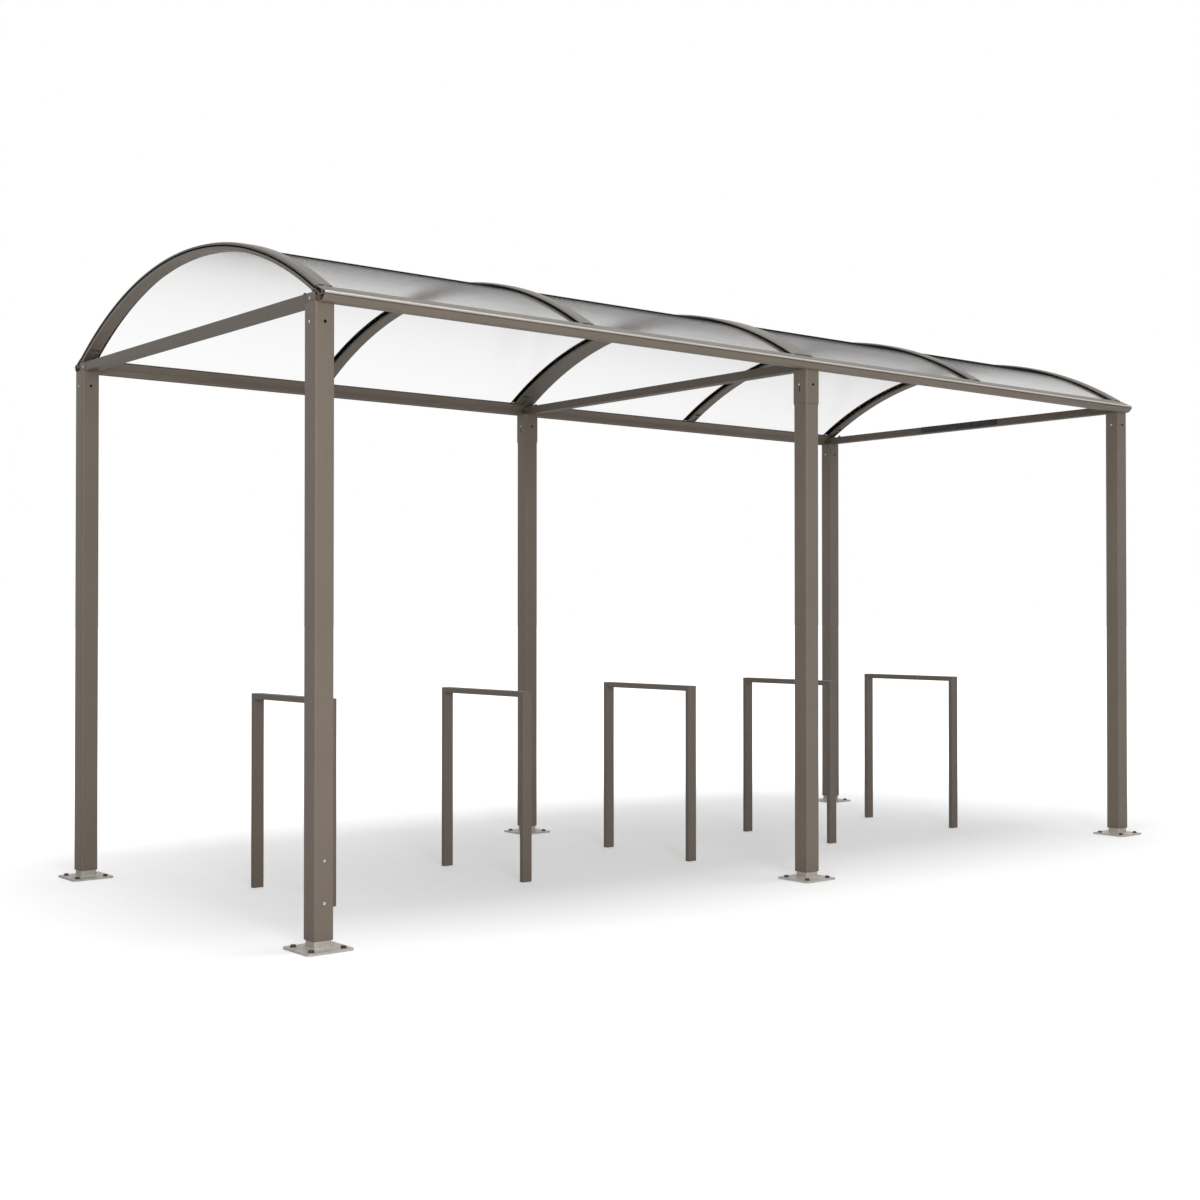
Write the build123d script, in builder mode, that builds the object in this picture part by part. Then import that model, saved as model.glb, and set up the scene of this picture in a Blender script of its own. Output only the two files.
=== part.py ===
"""Open bike shelter: six posts, arched clear roof, five bike stands under it.

Millimetres. +X runs along the shelter, +Y to the rear, +Z up.
The origin is on the ground, in the middle of the plan.
"""

import math
import os

from build123d import *

os.makedirs("parts", exist_ok=True)

# ---------------------------------------------------------------- driving sizes

# plan
roof_length = 5000.0  # over the end arches
post_inset = 26.0  # centre of an end post from the end of the roof
post_span_y = 2110.0  # centre to centre, front to rear
middle_post_x = 30.0  # the middle pair stands beside the beam joint
beam_joint_x = -70.0  # beside the cover of the middle arch

# clearances
seat_gap = 0.3  # between pieces that rest on or bear against each other
joint_gap = 1.0  # between the ends of two beam lengths

# posts
post_side = 80.0
post_wall = 4.0
post_corner = 8.0
post_foot_z = 36.0  # underside of the post tube, clear of the base plate

# bolt holes in the posts
sleeve_bolt_d = 9.0
sleeve_bolt_drop = 69.0  # below the eaves beam
panel_hole_d = 9.0
panel_hole_heights = (169.0, 319.0)

# feet
plate_side = 190.0
plate_thick = 8.0
plate_corner = 16.0
anchor_spacing = 130.0
anchor_hole_d = 14.0
stub_wall = 5.0
stub_corner = 10.0
stub_height = 180.0
stub_weld = 4.0

# collars round the tops of the middle posts
collar_wall = 3.0
collar_height = 154.0
collar_key_d = 10.0
collar_key_slot = 5.0
collar_key_length = 32.0

# eaves beam: a hollow profile, upright inside, sloping outside, with a bead along the front
beam_bottom_z = 2303.0
beam_wall = 3.0
beam_inner_offset = 17.0  # inner face, outwards from the centre line of the posts
beam_inner_height = 22.0  # upright part of the inner face
beam_height = 49.0  # underside to the shelf
beam_shelf_overhang = 34.0  # shelf, inwards of the inner face
beam_shelf_width = 26.2  # level part that the arches land on
beam_seat_width = 37.8  # sloping part that the sheets lie on
beam_leg_drop = 4.0  # drip edge outside the posts, below the underside
beam_leg_width = 21.4
beam_leg_rise = 3.5  # from the drip edge out to the foot of the fascia
beam_fascia_width = 18.5
beam_fascia_height = 18.5
beam_groove = 4.0  # depth and height of the groove between fascia and bead
beam_bead_height = 12.5
beam_lip_height = 40.0  # top of the lip above the underside
beam_lip_reach = 45.0  # outwards from the inner face
beam_lip_wall = 2.5
beam_rib_offset = 16.0

# plates over the corners between cross-beams and eaves beams, at the ends of the shelter
end_plate_width = 56.0
end_plate_thick = 1.5
end_hole_d = 9.0
end_hole_in = 20.0  # from the inner edge of the plate
end_hole_up = 19.0  # above the underside of the beam

# roof sheets
sheet_outer_radius = 2008.6
sheet_thick = 6.0
sheet_landing = 35.8  # how far the sheets reach over the beam's seat
sheet_edge_gap = 2.0

# arches
inner_arch_x = (-1254.0, -4.0, 1240.0)
bar_width = 55.0
middle_bar_shift = 30.5  # the middle arch is a double bar: each half from its centre
bar_height = 13.5
bar_wall = 2.5
channel_width = 12.0  # screw channel between the sheets, over its two walls
channel_wall = 2.5
pocket_width = 44.0  # screw pocket in the underside, at each foot
pocket_length = 102.0

# brackets inside the feet of the arches
bracket_width = 40.0
bracket_length = 89.0
bracket_thick = 3.0
bracket_head = 14.0  # thicker end that is level with the underside of the bar

# cover strips over the arches
cover_width = 74.0
cover_crown_width = 45.0
cover_rise = 12.7  # crown above the sheets
cover_edge_rise = 7.6
cover_wall = 2.5

# clip strips along the eaves
clip_width = 38.5
clip_rise = 11.0  # upper edge above the sheets
clip_drop = 19.6  # from the upper edge to the lower one
clip_gap = 2.0  # open groove beside the nose
clip_wall = 2.2
clip_hook = 12.0

# cross-beams
cross_width = 52.0
cross_height = 39.0
cross_wall = 3.0

# blank plate on the right cross-beam
blank_length = 560.0
blank_height = 34.0
blank_thick = 3.0

# bike stands
stand_count = 5
stand_pitch = 1000.0
stand_width = 650.0
stand_height = 850.0
stand_tube_width = 50.0
stand_tube_depth = 25.0
stand_wall = 2.0
stand_tube_corner = 3.0

# ---------------------------------------------------------------- worked-out places

post_y = post_span_y / 2
end_post_x = roof_length / 2 - post_inset
post_x = (-end_post_x, middle_post_x, end_post_x)
post_top_z = beam_bottom_z - seat_gap
stub_side = post_side - 2 * post_wall - 2 * seat_gap
sleeve_bolt_z = beam_bottom_z - sleeve_bolt_drop
beam_inner_y = post_y + beam_inner_offset
beam_shelf_z = beam_bottom_z + beam_height
beam_shelf_y = beam_inner_y - beam_shelf_overhang
beam_seat_start = beam_shelf_y + beam_shelf_width
beam_leg_y = post_y + post_side / 2 + collar_wall + 2 * seat_gap
cross_top_z = beam_bottom_z + cross_height

# the roof arc meets the outer edge of the beam's level shelf
sheet_inner_radius = sheet_outer_radius - sheet_thick
bar_outer_radius = sheet_inner_radius - seat_gap
arc_centre_z = beam_shelf_z - math.sqrt(bar_outer_radius**2 - beam_seat_start**2)
cover_base_radius = sheet_outer_radius + seat_gap
crown_radius = sheet_outer_radius + cover_rise
cover_edge_radius = sheet_outer_radius + cover_edge_rise

# the clip strip stops short of the lip of the nose
clip_end = beam_inner_y + beam_lip_reach - beam_lip_wall - clip_gap
clip_start = clip_end - clip_width

end_arch_x = roof_length / 2 - cover_width / 2
end_bar_shift = (cover_width - bar_width) / 2
arch_x = (-end_arch_x,) + inner_arch_x + (end_arch_x,)
bar_x = (-end_arch_x - end_bar_shift,) + inner_arch_x + (end_arch_x + end_bar_shift,)
bar_shift = (0.0, 0.0, middle_bar_shift, 0.0, 0.0)

sides = {"front": -1, "rear": 1}
columns = ("left", "middle", "right")


def arc_height(radius, reach):
    """Height of a roof arc at a horizontal distance from the centre line."""
    return arc_centre_z + math.sqrt(radius**2 - reach**2)


def arc_angle(radius, reach):
    """Angle in degrees from the crown of an arc to a horizontal distance."""
    return math.degrees(math.asin(reach / radius))


def arc_plane(x, angle):
    """Plane across the roof at x, turned about the arc centre so that its y is radial."""
    turn = math.radians(angle)
    return Plane(
        origin=(x, 0, arc_centre_z),
        x_dir=(1, 0, 0),
        z_dir=(0, -math.cos(turn), math.sin(turn)),
    )


def side_plane(side, x_low, x_high):
    """Plane across the shelter whose x points outwards on that side and y up."""
    if side == "front":
        return Plane(origin=(x_high, 0, 0), x_dir=(0, -1, 0), z_dir=(-1, 0, 0))
    return Plane(origin=(x_low, 0, 0), x_dir=(0, 1, 0), z_dir=(1, 0, 0))


arc_axis = Axis((0, 0, arc_centre_z), (1, 0, 0))


# ---------------------------------------------------------------- posts and feet


def make_post(name, x, y, panel_face=None):
    """Square tube on its stub, with holes for the bolts of the top sleeve."""
    with BuildPart() as post:
        with BuildSketch(Plane.XY.offset(post_foot_z)):
            with Locations((x, y)):
                RectangleRounded(post_side, post_side, post_corner)
                inside = post_side - 2 * post_wall
                RectangleRounded(inside, inside, post_corner - post_wall, mode=Mode.SUBTRACT)
        extrude(amount=post_top_z - post_foot_z)
        with Locations(Plane(origin=(x, y, sleeve_bolt_z), z_dir=(0, 1, 0))):
            Hole(sleeve_bolt_d / 2)
        with Locations(Plane(origin=(x, y, sleeve_bolt_z), z_dir=(1, 0, 0))):
            Hole(sleeve_bolt_d / 2)
        if panel_face:
            for height in panel_hole_heights:
                face = Plane(origin=(x, y, height), z_dir=panel_face)
                with BuildSketch(face):
                    Circle(panel_hole_d / 2)
                extrude(amount=post_side, mode=Mode.SUBTRACT)
    post.part.label = name
    export_step(post.part, f"parts/{name}.step")


def make_foot(name, x, y):
    """Base plate with four anchor holes and a welded stub that the post slips over."""
    with BuildPart() as foot:
        with BuildSketch():
            with Locations((x, y)):
                RectangleRounded(plate_side, plate_side, plate_corner)
                with GridLocations(anchor_spacing, anchor_spacing, 2, 2):
                    Circle(anchor_hole_d / 2, mode=Mode.SUBTRACT)
        extrude(amount=plate_thick)
        with BuildSketch(Plane.XY.offset(plate_thick)):
            with Locations((x, y)):
                RectangleRounded(
                    stub_side + 2 * stub_weld, stub_side + 2 * stub_weld, stub_corner + stub_weld
                )
        extrude(amount=stub_weld, taper=45)
        with BuildSketch(Plane.XY.offset(plate_thick)):
            with Locations((x, y)):
                RectangleRounded(stub_side, stub_side, stub_corner)
        extrude(amount=stub_height)
        bore = stub_side - 2 * stub_wall
        with BuildSketch(Plane.XY.offset(plate_thick)):
            with Locations((x, y)):
                RectangleRounded(bore, bore, stub_corner - stub_wall)
        extrude(amount=stub_height, mode=Mode.SUBTRACT)
    foot.part.label = name
    export_step(foot.part, f"parts/{name}.step")


def make_collar(name, x, y):
    """Sleeve round the top of a middle post, with a keyhole on its left face."""
    bore = post_side + 2 * seat_gap
    outside = bore + 2 * collar_wall
    with BuildPart() as collar:
        with BuildSketch(Plane.XY.offset(post_top_z - collar_height)):
            with Locations((x, y)):
                RectangleRounded(outside, outside, post_corner + seat_gap + collar_wall)
                RectangleRounded(bore, bore, post_corner + seat_gap, mode=Mode.SUBTRACT)
        extrude(amount=collar_height)
        with Locations(Plane(origin=(x, y, sleeve_bolt_z), z_dir=(0, 1, 0))):
            Hole(sleeve_bolt_d / 2)
        left_face = Plane(origin=(x, y, sleeve_bolt_z), x_dir=(0, 1, 0), z_dir=(-1, 0, 0))
        with BuildSketch(left_face):
            Circle(collar_key_d / 2)
            with Locations((0, collar_key_length / 2)):
                SlotOverall(collar_key_length, collar_key_slot, rotation=90)
        extrude(amount=outside, mode=Mode.SUBTRACT)
    collar.part.label = name
    export_step(collar.part, f"parts/{name}.step")


# ---------------------------------------------------------------- eaves


def make_beam(name, side, x_low, x_high):
    """Hollow eaves profile with a shelf for the arches and a seat for the sheets."""
    knee = (beam_inner_y, beam_bottom_z + beam_inner_height)
    leg_foot_z = beam_bottom_z - beam_leg_drop
    fascia_foot = (beam_leg_y + beam_leg_width, leg_foot_z + beam_leg_rise)
    fascia_top = (fascia_foot[0] + beam_fascia_width, fascia_foot[1] + beam_fascia_height)
    bead_foot = (fascia_top[0] - beam_groove, fascia_top[1] + beam_groove)
    bead_tip = (fascia_top[0], bead_foot[1] + beam_bead_height / 2)
    bead_top = (bead_foot[0], bead_foot[1] + beam_bead_height)
    lip_top = (beam_inner_y + beam_lip_reach, beam_bottom_z + beam_lip_height)
    lip_back = lip_top[0] - beam_lip_wall
    seat_out = beam_seat_start + beam_seat_width
    seat_out_z = arc_height(bar_outer_radius, seat_out)
    with BuildPart() as beam:
        with BuildSketch(side_plane(side, x_low, x_high)):
            with BuildLine():
                Polyline(
                    (beam_seat_start, beam_shelf_z),
                    (beam_shelf_y, beam_shelf_z),
                    knee,
                    (beam_inner_y, beam_bottom_z),
                    (beam_leg_y, beam_bottom_z),
                    (beam_leg_y, leg_foot_z),
                    fascia_foot,
                    fascia_top,
                    bead_foot,
                )
                ThreePointArc(bead_foot, bead_tip, bead_top)
                Polyline(
                    bead_top,
                    lip_top,
                    (lip_back, lip_top[1]),
                    (lip_back, seat_out_z),
                    (seat_out, seat_out_z),
                )
                RadiusArc(
                    (seat_out, seat_out_z), (beam_seat_start, beam_shelf_z), -bar_outer_radius
                )
            make_face()
            offset(amount=-beam_wall, kind=Kind.ARC, mode=Mode.SUBTRACT)
            rib = beam_inner_y + beam_rib_offset
            rib_foot = beam_bottom_z + beam_wall / 2
            rib_top = arc_height(bar_outer_radius, rib + beam_wall / 2) - beam_wall / 2
            with Locations((rib, (rib_foot + rib_top) / 2)):
                Rectangle(beam_wall, rib_top - rib_foot)
        extrude(amount=x_high - x_low)
    beam.part.label = name
    export_step(beam.part, f"parts/{name}.step")


def make_end_plates(name):
    """Plates over the corners between the end cross-beams and the eaves beams."""
    inner = beam_inner_y - end_plate_width
    with BuildPart() as plates:
        for side in sides:
            for end in (-1, 1):
                low_x = end * (roof_length / 2 + seat_gap + end_plate_thick / 2) - end_plate_thick / 2
                with BuildSketch(side_plane(side, low_x, low_x + end_plate_thick)):
                    with Locations((inner, beam_bottom_z + seat_gap)):
                        Rectangle(
                            end_plate_width,
                            cross_height - 2 * seat_gap,
                            align=(Align.MIN, Align.MIN),
                        )
                    with Locations((inner + end_hole_in, beam_bottom_z + end_hole_up)):
                        Circle(end_hole_d / 2, mode=Mode.SUBTRACT)
                extrude(amount=end_plate_thick)
    plates.part.label = name
    export_step(plates.part, f"parts/{name}.step")


def make_clip(name, side, x_low, x_high):
    """Capping strip that holds the lower sheet edges down and hooks behind the nose."""
    foot_z = arc_height(cover_base_radius, clip_start)
    top_z = foot_z + clip_rise
    end_z = top_z - clip_drop
    hook_z = end_z - clip_hook
    with BuildPart() as clip:
        with BuildSketch(side_plane(side, x_low, x_high)):
            with BuildLine():
                Polyline(
                    (clip_start, foot_z),
                    (clip_start, top_z),
                    (clip_end, end_z),
                    (clip_end, hook_z),
                    (clip_end - clip_wall, hook_z),
                    (clip_end - clip_wall, end_z - clip_wall),
                    (clip_start + clip_wall, top_z - clip_wall),
                    (clip_start + clip_wall, foot_z - clip_wall / 2),
                    close=True,
                )
            make_face()
        extrude(amount=x_high - x_low)
    clip.part.label = name
    export_step(clip.part, f"parts/{name}.step")


# ---------------------------------------------------------------- roof


def make_arch(name, x, shift):
    """Bent glazing bar: a flat box under the sheets and a screw channel between them.

    A double bar has a channel in each half, one shift from its centre.
    """
    width = bar_width + 2 * shift
    foot_angle = arc_angle(bar_outer_radius, beam_seat_start)
    pocket_angle = foot_angle - math.degrees(pocket_length / bar_outer_radius)
    channel_top = crown_radius - cover_wall - seat_gap
    channel_middle = (bar_outer_radius + channel_top) / 2
    wall_shift = (channel_width - channel_wall) / 2
    with BuildPart() as arch:
        with BuildSketch(arc_plane(x, foot_angle)):
            with Locations((0, bar_outer_radius - bar_height / 2)):
                Rectangle(width, bar_height)
                Rectangle(width - 2 * bar_wall, bar_height - 2 * bar_wall, mode=Mode.SUBTRACT)
            for channel in {-shift, shift}:
                with Locations(
                    (channel - wall_shift, channel_middle), (channel + wall_shift, channel_middle)
                ):
                    Rectangle(channel_wall, channel_top - bar_outer_radius)
        revolve(axis=arc_axis, revolution_arc=2 * foot_angle)
        for start in (foot_angle, -pocket_angle):
            with BuildSketch(arc_plane(x, start)):
                with Locations((-shift, bar_outer_radius - bar_height + bar_wall / 2)):
                    Rectangle(pocket_width, 2 * bar_wall)
            revolve(axis=arc_axis, revolution_arc=foot_angle - pocket_angle, mode=Mode.SUBTRACT)
        split(bisect_by=Plane.XY.offset(beam_shelf_z + seat_gap), keep=Keep.TOP)
    arch.part.label = name
    export_step(arch.part, f"parts/{name}.step")


def make_brackets(name):
    """Brackets inside the feet of the arches, standing on the eaves beams."""
    outer = bar_outer_radius - bar_wall - seat_gap
    head_inner = bar_outer_radius - bar_height
    foot_angle = arc_angle(outer, beam_seat_start)
    top_angle = foot_angle - math.degrees(bracket_length / outer)
    head_angle = top_angle + math.degrees(bracket_head / outer)
    with BuildPart() as brackets:
        for bar, shift in zip(bar_x, bar_shift):
            x = bar - shift
            for start in (foot_angle, -top_angle):
                with BuildSketch(arc_plane(x, start)):
                    with Locations((0, outer - bracket_thick / 2)):
                        Rectangle(bracket_width, bracket_thick)
                revolve(axis=arc_axis, revolution_arc=foot_angle - top_angle)
            for start in (head_angle, -top_angle):
                with BuildSketch(arc_plane(x, start)):
                    with Locations((0, (outer + head_inner) / 2)):
                        Rectangle(bracket_width, outer - head_inner)
                revolve(axis=arc_axis, revolution_arc=head_angle - top_angle)
        split(bisect_by=Plane.XY.offset(beam_shelf_z + seat_gap), keep=Keep.TOP)
    brackets.part.label = name
    export_step(brackets.part, f"parts/{name}.step")


def make_cover(name, x, shift):
    """Crowned capping strip over an arch, bearing on the sheets at both its edges."""
    half = cover_width / 2 + shift
    crown = cover_crown_width / 2 + shift
    start = arc_angle(crown_radius, clip_start - seat_gap)
    with BuildPart() as cover:
        with BuildSketch(arc_plane(x, start)):
            with BuildLine():
                Polyline(
                    (-half, cover_base_radius),
                    (-half, cover_edge_radius),
                    (-crown, crown_radius),
                    (crown, crown_radius),
                    (half, cover_edge_radius),
                    (half, cover_base_radius),
                    (half - cover_wall, cover_base_radius),
                    (half - cover_wall, cover_edge_radius - cover_wall),
                    (crown - cover_wall / 2, crown_radius - cover_wall),
                    (cover_wall / 2 - crown, crown_radius - cover_wall),
                    (cover_wall - half, cover_edge_radius - cover_wall),
                    (cover_wall - half, cover_base_radius),
                    close=True,
                )
            make_face()
        revolve(axis=arc_axis, revolution_arc=2 * start)
    cover.part.label = name
    export_step(cover.part, f"parts/{name}.step")


def make_sheet(name, x_low, x_high):
    """Clear sheet bent over the arches from eaves to eaves."""
    start = arc_angle(sheet_inner_radius, beam_seat_start + sheet_landing)
    with BuildPart() as sheet:
        with BuildSketch(arc_plane((x_low + x_high) / 2, start)):
            with Locations((0, sheet_inner_radius + sheet_thick / 2)):
                Rectangle(x_high - x_low, sheet_thick)
        revolve(axis=arc_axis, revolution_arc=2 * start)
    sheet.part.label = name
    export_step(sheet.part, f"parts/{name}.step")


# ---------------------------------------------------------------- cross-beams


def make_cross_beam(name, x):
    """Rectangular tube over a pair of posts, coped at its ends to the eaves beams."""
    half = beam_inner_y - seat_gap
    knee_z = beam_bottom_z + beam_inner_height
    low_x = x - cross_width / 2
    high_x = x + cross_width / 2
    with BuildPart() as cross:
        with BuildSketch(Plane(origin=(x, -half, 0), x_dir=(1, 0, 0), z_dir=(0, -1, 0))):
            with Locations((0, beam_bottom_z + cross_height / 2)):
                Rectangle(cross_width, cross_height)
                Rectangle(
                    cross_width - 2 * cross_wall, cross_height - 2 * cross_wall, mode=Mode.SUBTRACT
                )
        extrude(amount=-2 * half)
        for side in sides:
            with BuildSketch(side_plane(side, low_x, high_x)):
                with BuildLine():
                    Polyline(
                        (beam_inner_y, knee_z - seat_gap),
                        (beam_shelf_y, beam_shelf_z - seat_gap),
                        (beam_inner_y, beam_shelf_z - seat_gap),
                        close=True,
                    )
                make_face()
                hole_y = beam_inner_y - end_plate_width + end_hole_in
                with Locations((hole_y, beam_bottom_z + end_hole_up)):
                    Circle(end_hole_d / 2)
            extrude(amount=cross_width, mode=Mode.SUBTRACT)
    cross.part.label = name
    export_step(cross.part, f"parts/{name}.step")


def make_blank_plate(name):
    """Bare plate fixed flat to the inner face of the right cross-beam."""
    back = post_x[2] - cross_width / 2 - seat_gap
    middle_z = cross_top_z - blank_height / 2
    with BuildPart() as blank:
        with BuildSketch(Plane(origin=(back, 0, middle_z), x_dir=(0, 1, 0), z_dir=(-1, 0, 0))):
            RectangleRounded(blank_length, blank_height, blank_thick)
        extrude(amount=blank_thick)
    blank.part.label = name
    export_step(blank.part, f"parts/{name}.step")


# ---------------------------------------------------------------- bike stands


def make_stand(name, x):
    """Bike stand: one rectangular tube mitred into an upside-down U."""
    half = stand_width / 2 - stand_tube_depth / 2
    top = stand_height - stand_tube_depth / 2
    with BuildPart() as stand:
        with BuildLine() as route:
            Polyline((x, -half, 0), (x, -half, top), (x, half, top), (x, half, 0))
        with BuildSketch(Plane(origin=(x, -half, 0), z_dir=(0, 0, 1))):
            RectangleRounded(stand_tube_width, stand_tube_depth, stand_tube_corner)
            RectangleRounded(
                stand_tube_width - 2 * stand_wall,
                stand_tube_depth - 2 * stand_wall,
                stand_tube_corner - stand_wall,
                mode=Mode.SUBTRACT,
            )
        sweep(path=route.line, transition=Transition.RIGHT)
    stand.part.label = name
    export_step(stand.part, f"parts/{name}.step")


# ---------------------------------------------------------------- the assembly

# holes for a side panel: in the front of the left corner post, in the end of the right one
panel_faces = {"front_left": (0, -1, 0), "front_right": (1, 0, 0)}

for side, sign in sides.items():
    for column, x in zip(columns, post_x):
        place = f"{side}_{column}"
        make_post(f"post_{place}", x, sign * post_y, panel_faces.get(place))
        make_foot(f"foot_{place}", x, sign * post_y)
    make_collar(f"collar_{side}_middle", middle_post_x, sign * post_y)

    low = -roof_length / 2
    high = roof_length / 2
    joint_low = beam_joint_x - joint_gap / 2
    joint_high = beam_joint_x + joint_gap / 2
    make_beam(f"eaves_beam_{side}_left", side, low, joint_low)
    make_beam(f"eaves_beam_{side}_right", side, joint_high, high)
    make_clip(f"eaves_clip_{side}_left", side, low, joint_low)
    make_clip(f"eaves_clip_{side}_right", side, joint_high, high)

for column, x in zip(columns, post_x):
    make_cross_beam(f"cross_beam_{column}", x)
make_blank_plate("blank_plate")
make_end_plates("beam_end_plates")
make_brackets("arch_brackets")

for number in range(len(arch_x)):
    make_arch(f"arch_{number + 1}", bar_x[number], bar_shift[number])
    make_cover(f"arch_cover_{number + 1}", arch_x[number], bar_shift[number])

sheet_edge = channel_width / 2 + sheet_edge_gap
for number in range(len(arch_x) - 1):
    x_low = bar_x[number] + bar_shift[number] + sheet_edge
    x_high = bar_x[number + 1] - bar_shift[number + 1] - sheet_edge
    make_sheet(f"roof_sheet_{number + 1}", x_low, x_high)

for number in range(stand_count):
    x = (number - (stand_count - 1) / 2) * stand_pitch
    make_stand(f"bike_stand_{number + 1}", x)
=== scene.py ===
# %% [markdown]
# # An open bike shelter, dressed in Blender
#
# The shelter is a kit of square steel posts, hollow aluminium eaves beams and five bent
# glazing bars that carry a clear curved roof. Its construction is already there, as solids in
# metres with Z up. This lesson gives every surface its finish, and adds what is too small for
# the construction model: anchor bolts, rivet nuts, plugs, domed nuts, trims and rubber seals.
#
# We start by loading the solids. Each one keeps its place in its own mesh, so a measured
# corner is a real place on the shelter.

# %% Load the construction model
import math

import bmesh
import bpy
from mathutils import Matrix, Vector


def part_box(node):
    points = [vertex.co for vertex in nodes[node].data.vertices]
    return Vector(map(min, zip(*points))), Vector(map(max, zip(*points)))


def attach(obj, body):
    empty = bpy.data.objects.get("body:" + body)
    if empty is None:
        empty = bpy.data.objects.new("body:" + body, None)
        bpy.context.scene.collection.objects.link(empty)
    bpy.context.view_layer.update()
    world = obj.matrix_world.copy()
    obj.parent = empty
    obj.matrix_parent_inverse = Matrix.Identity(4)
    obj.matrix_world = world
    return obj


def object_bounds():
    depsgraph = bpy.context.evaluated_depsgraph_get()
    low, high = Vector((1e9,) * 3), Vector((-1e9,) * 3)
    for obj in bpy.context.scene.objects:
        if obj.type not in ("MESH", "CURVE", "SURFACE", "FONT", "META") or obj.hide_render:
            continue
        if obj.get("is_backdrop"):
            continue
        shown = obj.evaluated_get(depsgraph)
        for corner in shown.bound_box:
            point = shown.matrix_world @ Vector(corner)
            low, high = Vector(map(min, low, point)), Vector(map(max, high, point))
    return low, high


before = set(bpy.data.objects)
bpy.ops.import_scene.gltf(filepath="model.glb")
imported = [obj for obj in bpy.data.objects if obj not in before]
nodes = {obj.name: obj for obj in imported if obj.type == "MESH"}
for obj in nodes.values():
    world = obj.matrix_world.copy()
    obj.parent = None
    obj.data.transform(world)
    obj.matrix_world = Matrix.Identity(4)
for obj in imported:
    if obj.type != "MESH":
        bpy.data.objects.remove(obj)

cad_low, cad_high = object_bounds()
print("construction model:", len(nodes), "nodes,", [round(v, 3) for v in cad_high - cad_low], "m")

# %% [markdown]
# ## Places that many steps need
#
# A box gives a node's lowest and highest corner. The middle of a post, the plate it stands on
# and the circle of the roof all follow from such boxes and a few real sizes, so nothing is
# placed by eye. The roof is a part of a cylinder: its top is the crest of a sheet, and the
# radius of its outer face is a driving size of the shelter.

# %% Measure the frame
MM = 0.001
ROOF_RADIUS = 2008.6 * MM

sides = ("front", "rear")
columns = ("left", "middle", "right")
posts = [f"{side}_{column}" for side in sides for column in columns]


def middle(node):
    """Centre of a node's box."""
    low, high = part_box(node)
    return (low + high) / 2


roof_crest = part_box("roof_sheet_1")[1].z
roof_axis_z = roof_crest - ROOF_RADIUS
print("roof axis", round(roof_axis_z, 4), "m above the ground, crest", round(roof_crest, 4))

# %% [markdown]
# ## Camera
#
# The shelter is seen from in front of its left corner, at the eye height of a child, with a
# normal to long lens. A low camera makes the roof rise over the far bays and lets the light
# shine through it.

# %% Place the camera
EYE = (-5.41594, -6.22655, 1.17822)
TILT_DEGREES = 90.6372
HEADING_DEGREES = -39.3276
LENS_MM = 49.354
SENSOR_MM = 36

camera_data = bpy.data.cameras.new("view_from_left_corner")
camera_data.lens = LENS_MM
camera_data.sensor_width = SENSOR_MM
camera = bpy.data.objects.new("camera", camera_data)
camera.location = EYE
camera.rotation_euler = (math.radians(TILT_DEGREES), 0, math.radians(HEADING_DEGREES))
bpy.context.scene.collection.objects.link(camera)
bpy.context.scene.camera = camera
print("camera", round(camera.location.z, 2), "m high, lens", camera_data.lens, "mm")

# %% [markdown]
# ## Helpers for shader nodes
#
# A material is a small graph. One function adds a node, sets its options, and then either sets
# or links each input. The others are built on it, one for each kind of node that comes back
# often, so that every material below reads as a list of what it is made of. Colours are written
# as the hex values of a colour picker, which are sRGB, and Blender wants them linear, so one
# more function converts them.


# %% Colour and node helpers
WHITE = (1, 1, 1, 1)


def hex_colour(text):
    """Linear RGBA of an sRGB hex colour."""
    channels = [int(text[start:start + 2], 16) / 255 for start in (1, 3, 5)]
    linear = [c / 12.92 if c <= 0.04045 else ((c + 0.055) / 1.055) ** 2.4 for c in channels]
    return (*linear, 1.0)


def add_node(tree, kind, settings=None, inputs=None):
    """Add a node with its options, and set or link its inputs."""
    node = tree.nodes.new(kind)
    for option, value in (settings or {}).items():
        setattr(node, option, value)
    for socket, value in (inputs or {}).items():
        if isinstance(value, bpy.types.NodeSocket):
            tree.links.new(value, node.inputs[socket])
        else:
            node.inputs[socket].default_value = value
    return node


def noise(tree, place, size_mm, **inputs):
    """Grey noise whose grains are about a given size in millimetres."""
    inputs = {"Vector": place, "Scale": 1 / (size_mm * MM), **inputs}
    return add_node(tree, "ShaderNodeTexNoise", inputs=inputs).outputs["Fac"]


def remap(tree, value, low=0.0, high=1.0, start=0.0, end=1.0, settings=None):
    """Go from low to high while the value goes from start to end, and stop there."""
    ranges = {"From Min": start, "From Max": end, "To Min": low, "To Max": high}
    node = add_node(tree, "ShaderNodeMapRange", settings, {"Value": value, **ranges})
    return node.outputs["Result"]


def calculate(tree, operation, *terms):
    """Result of a math node on sockets and numbers."""
    node = add_node(tree, "ShaderNodeMath", {"operation": operation}, dict(enumerate(terms)))
    return node.outputs["Value"]


def blend_colours(tree, factor, first, second):
    """Go from one hex colour to another as the factor goes from 0 to 1."""
    colours = {"A": hex_colour(first), "B": hex_colour(second)}
    node = add_node(tree, "ShaderNodeMix", {"data_type": "RGBA"}, {"Factor": factor, **colours})
    return node.outputs["Result"]


def blend_shaders(tree, factor, first, second):
    """Go from one shader to another as the factor goes from 0 to 1."""
    node = add_node(tree, "ShaderNodeMixShader", inputs={0: factor, 1: first, 2: second})
    return node.outputs["Shader"]


def bump(tree, height, strength, distance):
    """Normal of a surface that a height pushes out by a distance."""
    inputs = {"Height": height, "Strength": strength, "Distance": distance}
    return add_node(tree, "ShaderNodeBump", inputs=inputs).outputs["Normal"]


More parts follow.
